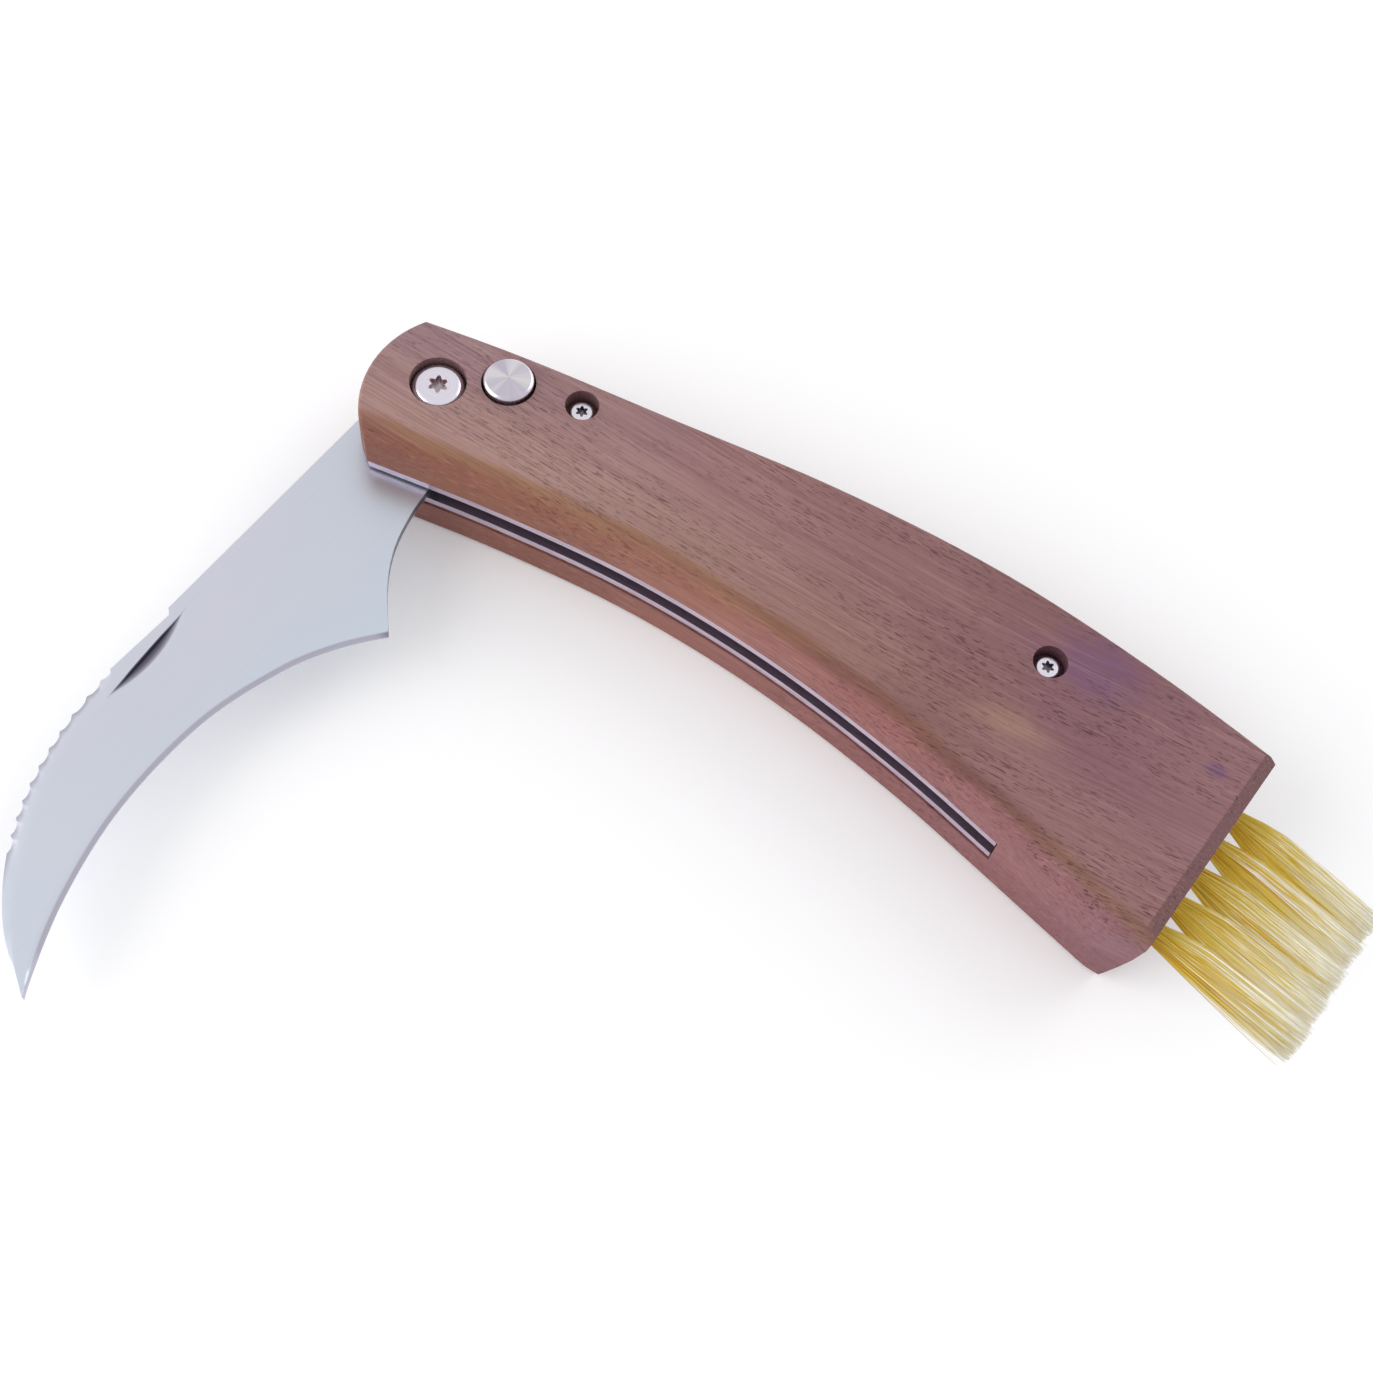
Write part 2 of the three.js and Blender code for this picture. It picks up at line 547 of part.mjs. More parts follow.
/** Flush disc that closes the spring's bore in the rear face, with a slot to turn it by. */
function springCap() {
  const high = SPRING_CAP.top - 0.05;
  const slot = new THREE.BoxGeometry(CAP_SLOT.length, CAP_SLOT.width, 2 * CAP_SLOT.depth);
  slot.translate(LOCK_AT.x, LOCK_AT.y, SPRING_CAP.recess);
  return drum(SPRING_CAP.r, SPRING_CAP.recess, high, LOCK_AT).subtract(solid(slot));
}

/** One tuft of bristle: round in its bore, then spreading to a flat oval tip. */
function bristleTuft(index) {
  const rings = [];
  const ring = (z, across, thick) => {
    const points = [];
    for (let i = 0; i < 20; i += 1) {
      const a = (i / 20) * 2 * Math.PI;
      points.push(new THREE.Vector3(thick * Math.cos(a), across * Math.sin(a), z));
    }
    rings.push(points);
  };
  ring(-TUFT_DEPTH, TUFT_ROOT_R, TUFT_ROOT_R);
  ring(0, TUFT_ROOT_R, TUFT_ROOT_R);
  ring(TUFT_WAIST.share * TUFT_LENGTH, TUFT_WAIST.across, TUFT_WAIST.thick);
  ring(TUFT_LENGTH, TUFT_TIP.across, TUFT_TIP.thick);
  const body = loft(rings);
  return solid(placeAtTail(geometryOf(body), index));
}

/** The flat anchor that pins a folded tuft at the bottom of its bore. */
function tuftAnchor(index) {
  const plate = new THREE.BoxGeometry(ANCHOR.thick, ANCHOR.width, ANCHOR.length);
  plate.translate(0, 0, -TUFT_DEPTH - ANCHOR.below);
  return solid(placeAtTail(plate, index));
}

// ---------- materials and the assembly ----------

function material(color, roughness, metalness) {
  return new THREE.MeshStandardMaterial({ color, roughness, metalness });
}

const knife = new THREE.Group();
const pieces = new THREE.Group();
pieces.position.copy(REST_POINT).negate();
knife.add(pieces);

function place(name, body, surface) {
  const mesh = new THREE.Mesh(geometryOf(body), surface);
  mesh.name = name;
  pieces.add(mesh);
}

const WOOD = [0x9a7068, 0.6, 0];
const BLADE_STEEL = [0xbfc3cd, 0.35, 1];
const LINER_STEEL = [0xc2b6c2, 0.3, 1];
const BRIGHT_STEEL = [0xd6d3dc, 0.22, 1];
const BRASS = [0xb08d4a, 0.35, 1];
const BRISTLE = [0xd8c25a, 0.7, 0];

place("handle_body", handleBody(), material(...WOOD));
place("front_liner", liner(MID_Z + LINER_INNER, MID_Z + LINER_OUTER, NECK_R + LOCK_CLEAR),
  material(...LINER_STEEL));
place("rear_liner", liner(MID_Z - LINER_OUTER, MID_Z - LINER_INNER, LOCK_R + LOCK_CLEAR),
  material(...LINER_STEEL));
place("blade", blade(), material(...BLADE_STEEL));
place("pivot_screw", screw(PIVOT_HEAD, PIVOT_SHANK_R, MID_Z - 1, new THREE.Vector2(), FINE),
  material(...BRIGHT_STEEL));
place("pivot_barrel", pivotBarrel(), material(...BRIGHT_STEEL));
place("front_washer", washer(), material(...BRASS));
place("rear_washer", mirrored(washer()), material(...BRASS));
place("lock_button", lockButton(), material(...BRIGHT_STEEL));
place("lock_plunger", lockPlunger(), material(...BRIGHT_STEEL));
place("lock_spring", lockSpring(), material(...BRIGHT_STEEL));
place("spring_cap", springCap(), material(...BRIGHT_STEEL));
for (const [end, at] of [["fore", FORE_SCREW_AT], ["aft", AFT_SCREW_AT]]) {
  const smallScrew = screw(SMALL_HEAD, SMALL_SHANK_R, MID_Z + 0.2, at, ROUGH);
  place(`${end}_standoff`, standoff(at), material(...BRASS));
  place(`${end}_screw_front`, smallScrew, material(...BRIGHT_STEEL));
  place(`${end}_screw_rear`, mirrored(smallScrew), material(...BRIGHT_STEEL));
}
for (let i = 0; i < TUFT_COUNT; i += 1) {
  place(`bristle_tuft_${i + 1}`, bristleTuft(i), material(...BRISTLE));
  place(`tuft_anchor_${i + 1}`, tuftAnchor(i), material(...BRASS));
}

export default knife;
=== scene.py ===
"""Looks for the folding mushroom knife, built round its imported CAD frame."""
import json
import math
import random

import bpy
from mathutils import Matrix, Vector


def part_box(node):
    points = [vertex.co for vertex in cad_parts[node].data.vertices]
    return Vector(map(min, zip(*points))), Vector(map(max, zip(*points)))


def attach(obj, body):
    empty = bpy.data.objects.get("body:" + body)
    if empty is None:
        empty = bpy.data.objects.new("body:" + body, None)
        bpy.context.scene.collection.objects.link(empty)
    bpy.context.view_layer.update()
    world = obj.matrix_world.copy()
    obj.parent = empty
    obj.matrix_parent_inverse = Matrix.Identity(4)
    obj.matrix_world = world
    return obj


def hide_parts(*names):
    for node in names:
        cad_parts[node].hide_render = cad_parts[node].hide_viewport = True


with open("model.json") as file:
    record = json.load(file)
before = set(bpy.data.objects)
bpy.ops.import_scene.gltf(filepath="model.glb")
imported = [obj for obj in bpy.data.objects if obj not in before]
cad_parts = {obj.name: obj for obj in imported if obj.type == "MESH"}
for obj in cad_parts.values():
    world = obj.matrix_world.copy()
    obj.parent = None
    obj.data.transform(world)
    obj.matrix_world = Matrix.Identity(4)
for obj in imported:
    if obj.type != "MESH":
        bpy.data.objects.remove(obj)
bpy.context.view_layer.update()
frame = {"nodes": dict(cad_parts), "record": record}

MM = 0.001
MID_Z = 8.5 * MM  # the middle plane of the handle and the blade
PIVOT = Vector((-60, -5, 0)) * MM

# The tail and its row of tufts as the CAD model has them, in millimetres and degrees from the pivot.
TAIL_X = 122.5  # where the tail face crosses y = 0
TAIL_SLOPE = 0.08
TUFT_COUNT = 5
TUFT_MIDDLE_Y = -0.6
TUFT_PITCH = 5.1
TUFT_LEAN = -9.5
TUFT_FAN = -1.0  # the tufts draw together towards their tips

STRANDS = 620  # in each tuft
STRAND_RINGS = 9
STRAND_SIDES = 3

# Sizes of the filaments and of their tuft, in millimetres.
STRAND_R = 0.050
STRAND_R_RANGE = (0.8, 1.2)  # shares of that radius
TAPER = {"by": 0.45, "from": 0.7, "over": 0.3}  # shares of the radius and of the length
TUFT_LENGTH = 22.5
LONGEST = 22.6
UNEVEN = 2.4  # how much shorter a filament may be
SHORT = {"share": 0.15, "by": 4.5}  # some are shorter still
HIDDEN = 3.0  # length inside the bore
ROOT_R = 1.5
TIP_ACROSS = 2.65
TIP_THROUGH = 3.0
TIP_DRIFT = 0.38  # how far tips stray from their even places
BOW = 0.14
SPREAD_BY = 0.30  # share of its length by which a tuft has opened out
OUTER_SPREAD_BY = 0.95  # the same, for the row's outer side beside the belly
SPREAD_POWER = 1.4
FLANK_PALER = 0.20  # how much paler a tuft is on the side towards the spine
FIRST_SEED = 100


# ---------- node helpers ----------

class Graph:
    """Short calls for building a material's nodes."""

    def __init__(self, name):
        self.material = bpy.data.materials.new(name)
        self.material.use_nodes = True
        self.tree = self.material.node_tree
        self.shader = self.tree.nodes["Principled BSDF"]
        self.where = self.tree.nodes.new("ShaderNodeTexCoord").outputs["Object"]

    def node(self, kind, **values):
        made = self.tree.nodes.new("ShaderNode" + kind)
        for name, value in values.items():
            setattr(made, name, value)
        return made

    def feed(self, value, socket):
        if isinstance(value, bpy.types.NodeSocket):
            self.tree.links.new(value, socket)
        else:
            socket.default_value = value

    def math(self, operation, a, b=0.0, c=0.0):
        made = self.node("Math", operation=operation)
        for value, socket in zip((a, b, c), made.inputs):
            self.feed(value, socket)
        return made.outputs[0]

    def times(self, *factors):
        product = factors[0]
        for factor in factors[1:]:
            product = self.math("MULTIPLY", product, factor)
        return product

    def axis(self, name):
        split = self.node("SeparateXYZ")
        self.feed(self.where, split.inputs[0])
        return split.outputs[name]

    def vector(self, x, y, z):
        made = self.node("CombineXYZ")
        for value, socket in zip((x, y, z), made.inputs):
            self.feed(value, socket)
        return made.outputs[0]

    def stretched(self, scale, vector=None):
        made = self.node("Mapping")
        self.feed(vector or self.where, made.inputs["Vector"])
        made.inputs["Scale"].default_value = scale
        return made.outputs[0]

    def noise(self, vector, scale, detail=3.0, rough=0.55):
        made = self.node("TexNoise")
        self.feed(vector, made.inputs["Vector"])
        made.inputs["Scale"].default_value = scale
        made.inputs["Detail"].default_value = detail
        made.inputs["Roughness"].default_value = rough
        return made.outputs["Fac"]

    def sway(self, noise, amount):
        """A noise about 0.5, turned into one about 0 with a given size."""
        return self.times(self.math("SUBTRACT", noise, 0.5), amount)

    def ramp(self, value, low, high, to_low=0.0, to_high=1.0):
        """The value, mapped smoothly from one range to another."""
        made = self.node("MapRange", interpolation_type="SMOOTHSTEP")
        for v, socket in zip((value, low, high, to_low, to_high), made.inputs):
            self.feed(v, socket)
        return made.outputs[0]

    def colours(self, value, stops):
        """A colour for each value, from (value, colour) stops between 0 and 1."""
        made = self.node("ValToRGB")
        self.feed(value, made.inputs[0])
        ramp = made.color_ramp
        ramp.interpolation = "EASE"
        for place, _ in stops[1:-1]:
            ramp.elements.new(place)
        for element, (place, colour) in zip(ramp.elements, stops):
            element.position = place
            element.color = rgba(colour)
        return made.outputs[0]

    def radius(self, centre):
        """Distance from the upright line through a point."""
        dx = self.math("SUBTRACT", self.axis("X"), centre.x)
        dy = self.math("SUBTRACT", self.axis("Y"), centre.y)
        return self.math("SQRT", self.math("ADD", self.times(dx, dx), self.times(dy, dy)))

    def mix(self, share, a, b):
        made = self.node("Mix", data_type="RGBA")
        self.feed(share, made.inputs[0])
        for value, socket in zip((a, b), made.inputs[6:8]):
            self.feed(rgba(value) if isinstance(value, tuple) else value, socket)
        return made.outputs[2]

    def bump(self, height, distance, strength):
        made = self.node("Bump")
        made.inputs["Strength"].default_value = strength
        made.inputs["Distance"].default_value = distance
        self.feed(height, made.inputs["Height"])
        return made.outputs[0]

    def set(self, **values):
        for name, value in values.items():
            socket = self.shader.inputs[name.replace("_", " ")]
            self.feed(rgba(value) if isinstance(value, tuple) else value, socket)


def rgba(srgb):
    """A colour given as it looks on a screen, 0 to 255, as Blender's linear values."""
    def linear(v):
        v /= 255
        return v / 12.92 if v <= 0.04045 else ((v + 0.055) / 1.055) ** 2.4
    return tuple(linear(v) for v in srgb) + (1.0,)


# ---------- materials ----------

# The belly line of the handle, (x, y) in millimetres, and the box that holds it.
BELLY_LINE = [(-76, -20.3), (-66, -19.0), (-55, -16.95), (-44, -14.9), (-33, -13.3), (-22, -12.3),
              (-11, -12.0), (0, -12.35), (11, -13.35), (22, -14.85), (33, -16.8), (44, -19.2),
              (55, -21.5), (66, -23.75)]
LINE_BOX = {"left": -80, "bottom": -30, "width": 150, "height": 30}


def belly_distance(g):
    """Distance above the belly line of the handle, in metres, as nodes."""
    left, bottom, width, height = LINE_BOX.values()
    curve = g.node("FloatCurve")
    points = curve.mapping.curves[0].points
    scaled = [((x - left) / width, (y - bottom) / height) for x, y in BELLY_LINE]
    points[0].location, points[1].location = scaled[0], scaled[-1]
    for at in scaled[1:-1]:
        points.new(*at)
    curve.mapping.update()
    share = g.math("MULTIPLY_ADD", g.axis("X"), 1 / (width * MM), -left / width)
    g.feed(share, curve.inputs["Value"])
    line = g.math("MULTIPLY_ADD", curve.outputs[0], height * MM, bottom * MM)
    return g.math("SUBTRACT", g.axis("Y"), line)


def spot(g, x, y, across, down):
    """1 at a place on the face, falling raggedly to 0 at that distance from it."""
    dx = g.times(g.math("SUBTRACT", g.axis("X"), x * MM), 1 / (across * MM))
    dy = g.times(g.math("SUBTRACT", g.axis("Y"), y * MM), 1 / (down * MM))
    far = g.math("SQRT", g.math("ADD", g.times(dx, dx), g.times(dy, dy)))
    ragged = g.noise(g.stretched((1, 1.6, 1)), 190, 3)
    far = g.math("ADD", far, g.sway(ragged, 0.9))
    return g.ramp(far, 0.25, 1.0, 1.0, 0.0)


# Colours of the wood along the handle: beside the spine, lower on the face, on the belly and on the
# stripe between the two. A stop is a share of the way from WOOD_FROM, and a colour.
WOOD_FROM = -72 * MM
WOOD_SPAN = 136 * MM
WOOD_SPINE = [(0.0, (157, 127, 131)), (0.22, (156, 121, 122)), (0.38, (154, 115, 115)),
              (0.52, (145, 106, 106)), (0.68, (137, 98, 99)), (0.80, (134, 95, 102)),
              (1.0, (146, 107, 110))]
WOOD_LOW = [(0.0, (172, 137, 130)), (0.2, (168, 134, 126)), (0.38, (158, 122, 114)),
            (0.53, (152, 113, 106)), (0.66, (141, 102, 98)), (0.75, (149, 109, 108)),
            (1.0, (150, 110, 110))]
WOOD_BELLY = [(0.0, (134, 84, 68)), (0.2, (140, 90, 70)), (0.38, (152, 102, 86)),
              (0.5, (156, 104, 96)), (0.68, (150, 96, 94)), (0.84, (148, 98, 100)),
              (1.0, (140, 98, 108))]
WOOD_STRIPE = [(0.0, (142, 98, 84)), (0.12, (152, 110, 82)), (0.38, (152, 109, 82)),
               (0.5, (136, 94, 68)), (0.66, (130, 86, 70)), (0.8, (120, 78, 70)),
               (0.92, (136, 96, 80)), (1.0, (142, 102, 88))]

# Patches on the face: middle and reach in millimetres, strength and colour.
WOOD_PATCHES = [((38.0, 9.4, 9.5, 6.5), 0.75, (118, 82, 116)),
                ((31, 7.5, 9, 3.5), 0.35, (122, 84, 112)),
                ((57.5, 5.0, 2.3, 1.5), 0.8, (108, 74, 118)),
                ((31.5, -4.7, 9.5, 3.6), 0.6, (163, 130, 112))]

TAIL_EDGE = 61.1 * MM  # where the tail's chamfer starts, at y = 0
# Places of the bores from the pivot, and their radii, in millimetres.
BORES = [((0, 0, 0), 4.0), ((8.03, 5.59, 0), 3.85), ((18.44, 8.45, 0), 2.4), ((91.77, 11.29, 0), 2.4)]


def grain(g):
    """Coordinates that follow the grain: it swings towards the spine near the tail and wanders."""
    x, y, z = (g.axis(n) for n in "XYZ")
    past = g.math("MAXIMUM", g.math("ADD", x, 8 * MM), 0.0)
    swing = g.times(past, past, 0.7)
    wander = g.sway(g.noise(g.stretched((14, 22, 30)), 1.0, 2), 3.5 * MM)
    return g.vector(x, g.math("ADD", g.math("SUBTRACT", y, swing), wander), z)


def heartwood(g, along, place, belly):
    """The face: lighter towards the belly, with purple and tan patches."""
    streak = g.sway(g.noise(g.stretched((12, 260, 260), along), 1.0, 3), 16 * MM)
    high = g.ramp(g.math("ADD", belly, streak), 6 * MM, 17 * MM)
    face = g.mix(high, g.colours(place, WOOD_LOW), g.colours(place, WOOD_SPINE))
    for where, strength, colour in WOOD_PATCHES:
        face = g.mix(g.times(spot(g, *where), strength), face, colour)
    return face


def sapwood(g, face, along, place, belly):
    """Adds the belly's own colour, and a golden brown stripe where it meets the face."""
    uneven = g.noise(g.stretched((30, 60, 60), along), 2.0, 3)
    depth = g.math("ADD", belly, g.sway(uneven, 2.2 * MM))
    depth = g.math("SUBTRACT", depth, g.ramp(g.axis("X"), -45 * MM, -64 * MM, 0.0, 0.8 * MM))
    face = g.mix(g.ramp(depth, 3.4 * MM, 1.6 * MM), face, g.colours(place, WOOD_BELLY))
    off = g.math("ABSOLUTE", g.math("SUBTRACT", depth, 2.5 * MM))
    stripe = g.ramp(off, 0.2 * MM, 1.8 * MM, 0.9, 0.0)
    return g.mix(stripe, face, g.colours(place, WOOD_STRIPE))


def end_grain_and_painted_shade(g, face, belly):
    """End grain on the tail is darker; the bores and the rear half are darkened with painted shade."""
    tail = g.math("SUBTRACT", g.axis("X"), g.times(g.axis("Y"), TAIL_SLOPE))
    end = g.ramp(tail, TAIL_EDGE - 0.05 * MM, TAIL_EDGE + 0.05 * MM, 0.0, 0.45)
    end = g.times(end, g.ramp(belly, 1.5 * MM, 4.5 * MM, 0.15, 1.0))
    face = g.mix(end, face, (84, 50, 54))
    # Painted shade in the bores.
    for at, r in BORES:
        far = g.radius(PIVOT + Vector(at) * MM)
        face = g.mix(g.ramp(far, (r + 0.05) * MM, (r - 0.02) * MM, 0.0, 0.6), face, (58, 30, 36))
    # Painted shade on the rear half, below the middle plane.
    return g.mix(g.ramp(g.axis("Z"), MID_Z, MID_Z - 2 * MM, 0.0, 0.3), face, (116, 64, 68))


def spine_edge_highlight(g, face):
    """A painted highlight: the rounded edge of the spine, where it faces outward, is painted pale."""
    facing = g.node("SeparateXYZ")
    g.feed(g.where.node.outputs["Normal"], facing.inputs[0])
    outward = g.ramp(facing.outputs["Y"], 0.45, 0.80, 0.0, 0.5)
    edge_highlight = g.times(outward, g.ramp(g.axis("Z"), 15.5 * MM, 16.3 * MM))
    return g.mix(edge_highlight, face, (198, 190, 190))


def wood():
    """Sanded dark hardwood with open pores, its grain along the handle."""
    g = Graph("wood")
    along = grain(g)
    belly = belly_distance(g)
    shift = g.sway(g.noise(g.stretched((9, 80, 80), along), 1.0, 3), 50 * MM)
    x = g.axis("X")
    place = g.math("MULTIPLY_ADD", g.math("ADD", x, shift), 1 / WOOD_SPAN, -WOOD_FROM / WOOD_SPAN)
    face = heartwood(g, along, place, belly)
    face = sapwood(g, face, along, place, belly)
    face = spine_edge_highlight(g, end_grain_and_painted_shade(g, face, belly))

    lines = g.noise(g.stretched((55, 3000, 3000), along), 1.0, 4, 0.7)
    face = g.mix(g.ramp(lines, 0.42, 0.66, 0.0, 0.42), face, (112, 72, 70))
    light = g.noise(g.stretched((60, 2200, 2200), along), 1.3, 3, 0.6)
    face = g.mix(g.ramp(light, 0.52, 0.76, 0.0, 0.24), face, (200, 164, 152))
    bands = g.noise(g.stretched((16, 700, 700), along), 1.0, 3, 0.6)
    face = g.mix(g.ramp(bands, 0.45, 0.68, 0.0, 0.22), face, (116, 74, 76))

    # Pores: fine ones nearly everywhere, and bold ones towards the tail, both in loose groups.
    zone = g.noise(g.stretched((40, 150, 150), along), 1.0, 2)
    fine = g.noise(g.stretched((520, 4600, 4600), along), 1.0, 2, 0.5)
    fine = g.times(g.ramp(fine, 0.60, 0.68), g.ramp(zone, 0.30, 0.55))
    face = g.mix(g.times(fine, 0.55), face, (92, 52, 52))
    bold = g.noise(g.stretched((430, 3100, 3100), along), 1.0, 2, 0.5)
    towards_tail = g.ramp(x, -60 * MM, 30 * MM, 0.3, 1.0)
    bold = g.times(g.ramp(bold, 0.625, 0.69), g.ramp(zone, 0.42, 0.58), towards_tail)
    face = g.mix(g.times(bold, 0.75), face, (86, 46, 48))

    g.set(Base_Color=face, Roughness=g.math("MULTIPLY_ADD", lines, 0.22, 0.45), Specular_IOR_Level=0.3)
    height = g.math("SUBTRACT", g.times(lines, 0.5), g.math("MAXIMUM", fine, bold))
    g.set(Normal=g.bump(height, 0.09 * MM, 0.75))
    return g.material


def blade_steel():
    """Satin steel, ground across the blade; its narrow wall faces and the nick are darkened with
    painted shade.
    """
    g = Graph("blade_steel")
    scratch = g.noise(g.stretched((2600, 70, 400)), 1.0, 4, 0.75)
    cloud = g.noise(g.stretched((30, 14, 30)), 1.0, 2)
    tone = g.mix(g.ramp(cloud, 0.3, 0.7), (221, 230, 240), (226, 227, 238))
    tone = g.mix(g.ramp(scratch, 0.5, 0.8, 0.0, 0.25), tone, (210, 214, 225))
    off_middle = g.math("ABSOLUTE", g.math("SUBTRACT", g.axis("Z"), MID_Z))
    x, y = g.axis("X"), g.axis("Y")
    # Painted shade on the narrow wall faces; the choil's wall, near the handle, is the darkest.
    wall_shade = g.mix(g.ramp(y, -39.0 * MM, -37.0 * MM), (186, 182, 197), (112, 108, 126))
    tone = g.mix(g.ramp(off_middle, 0.68 * MM, 0.60 * MM, 0.0, 0.85), tone, wall_shade)
    # Painted shadow in the nick, along its straight side.
    nick = g.times(g.ramp(off_middle, 0.72 * MM, 0.40 * MM), g.ramp(x, -69.50 * MM, -69.35 * MM),
                   g.ramp(x, -66.0 * MM, -66.8 * MM), g.ramp(y, -68.5 * MM, -67.5 * MM))
    tone = g.mix(g.times(nick, 0.9), tone, (92, 90, 106))
    g.set(Base_Color=tone, Metallic=1.0, Roughness=g.math("MULTIPLY_ADD", scratch, 0.14, 0.30))
    g.set(Normal=g.bump(scratch, 0.01 * MM, 0.35))
    return g.material


def screw_steel(name, reach=0.0, inner=(58, 50, 54)):
    """Bright turned steel; a driver recess of a given reach, in metres, is painted inside: painted
    shade in the small screws, painted shade with a painted reflection of the wood in the pivot screw.
    """
    g = Graph(name + "_steel")
    low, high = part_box(name)
    r = g.radius((low + high) / 2)
    rings = g.noise(g.vector(g.times(r, 5200), 0.0, 0.0), 1.0, 2)
    tone = g.mix(g.ramp(rings, 0.35, 0.7), (252, 247, 255), (238, 232, 246))
    if reach:
        # Painted shade inside the driver recess, in the colour given.
        head = low.z if high.z < MID_Z + 2 * MM else high.z
        below = g.math("ABSOLUTE", g.math("SUBTRACT", g.axis("Z"), head))
        inside = g.times(g.ramp(below, 0.12 * MM, 0.45 * MM), g.ramp(r, reach * 1.04, reach * 0.98))
        tone = g.mix(g.times(inside, 0.85), tone, inner)
    g.set(Base_Color=tone, Metallic=1.0, Roughness=g.math("MULTIPLY_ADD", rings, 0.06, 0.20))
    return g.material


def turned_steel():
    """Bright steel of the small inner parts."""
    g = Graph("bright_steel")
    fine = g.noise(g.stretched((300, 300, 2500)), 1.0, 3, 0.6)
    tone = g.mix(g.ramp(fine, 0.35, 0.7), (226, 222, 232), (208, 204, 216))
    g.set(Base_Color=tone, Metallic=1.0, Roughness=g.math("MULTIPLY_ADD", fine, 0.08, 0.22))
    return g.material


def spun_steel():
    """The button's face: fine rings about its middle, which throw the light into soft fan shapes;
    lighter and darker sectors round it are also painted into its colour as a painted sheen.
    """
    g = Graph("spun_steel")
    low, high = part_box("lock_button")
    centre = (low + high) / 2
    dx = g.math("SUBTRACT", g.axis("X"), centre.x)
    dy = g.math("SUBTRACT", g.axis("Y"), centre.y)
    turn = g.math("ARCTAN2", dy, dx)
    fan_sheen = g.noise(g.vector(g.math("COSINE", turn), g.math("SINE", turn), 0.0), 0.8, 2, 0.5)
    rings = g.noise(g.vector(g.times(g.radius(centre), 9000), 0.0, 0.0), 1.0, 2)
    # Painted sheen: lighter and darker sectors by direction about the middle.
    tone = g.mix(g.ramp(fan_sheen, 0.36, 0.64), (244, 240, 242), (212, 205, 220))
    tone = g.mix(g.ramp(rings, 0.4, 0.7, 0.0, 0.15), tone, (200, 196, 206))
    g.set(Base_Color=tone, Metallic=1.0, Roughness=0.26, Anisotropic=0.6)
    tangent = g.node("Tangent", direction_type="RADIAL", axis="Z")
    g.set(Normal=g.bump(rings, 0.006 * MM, 0.4), Tangent=tangent.outputs[0])
    return g.material


def liner_steel():
    """Rolled steel sheet, scratched lengthways."""
    g = Graph("liner_steel")
    scratch = g.noise(g.stretched((90, 1800, 1800)), 1.0, 3, 0.7)
    tone = g.mix(g.ramp(scratch, 0.35, 0.7), (214, 198, 214), (190, 176, 192))
    g.set(Base_Color=tone, Metallic=1.0, Roughness=g.math("MULTIPLY_ADD", scratch, 0.15, 0.26))
    g.set(Normal=g.bump(scratch, 0.01 * MM, 0.4))
    return g.material


def brass():
    """Worn yellow metal of the washers, the standoffs and the anchors of the tufts."""
    g = Graph("brass")
    worn = g.noise(g.stretched((700, 700, 700)), 1.0, 3)
    tone = g.mix(g.ramp(worn, 0.35, 0.7), (205, 170, 96), (176, 138, 70))
    g.set(Base_Color=tone, Metallic=1.0, Roughness=g.math("MULTIPLY_ADD", worn, 0.2, 0.26))
    return g.material


def bristle():
    """Golden nylon filament that fades to a clear grey-white at its tip."""
    g = Graph("bristle")
    out = g.node("Attribute", attribute_name="out").outputs["Fac"]
    shade = g.node("Attribute", attribute_name="shade").outputs["Fac"]
    pale = g.ramp(shade, 0.55, 0.95)
    other = g.math("FRACT", g.times(shade, 37.0))
    reach = g.math("ADD", out, g.sway(other, 0.8))
    root = g.mix(g.ramp(shade, 0.0, 0.45), (196, 146, 14), (228, 194, 44))
    middle = g.mix(g.ramp(shade, 0.0, 0.45), (200, 170, 30), (226, 208, 92))
    pale = g.times(pale, g.ramp(reach, -0.3, 0.3, 0.35, 1.0))
    tone = g.mix(g.ramp(reach, 0.10, 0.50), g.mix(pale, root, (250, 240, 160)), middle)
    tone = g.mix(g.ramp(reach, 0.45, 0.95), tone, (238, 234, 220))
    white = g.times(g.ramp(shade, 0.80, 0.86), g.ramp(out, 0.06, 0.3))
    tone = g.mix(white, tone, (255, 254, 246))
    g.set(Base_Color=tone, Roughness=0.34, Specular_IOR_Level=0.5)
    # A faint painted glow: the filaments give off a little light in their own colour.
    g.set(Emission_Color=tone, Emission_Strength=0.05)
    g.set(Alpha=g.math("MAXIMUM", g.ramp(reach, 0.2, 1.1, 0.97, 0.42), g.times(white, 0.9)))
    glow = g.node("BsdfTranslucent")
    g.feed(tone, glow.inputs["Color"])
    both = g.node("MixShader")
    both.inputs[0].default_value = 0.35
    g.feed(g.shader.outputs[0], both.inputs[1])
    g.feed(glow.outputs[0], both.inputs[2])
    g.feed(both.outputs[0], g.tree.nodes["Material Output"].inputs["Surface"])
    return g.material


# ---------- the CAD pieces ----------

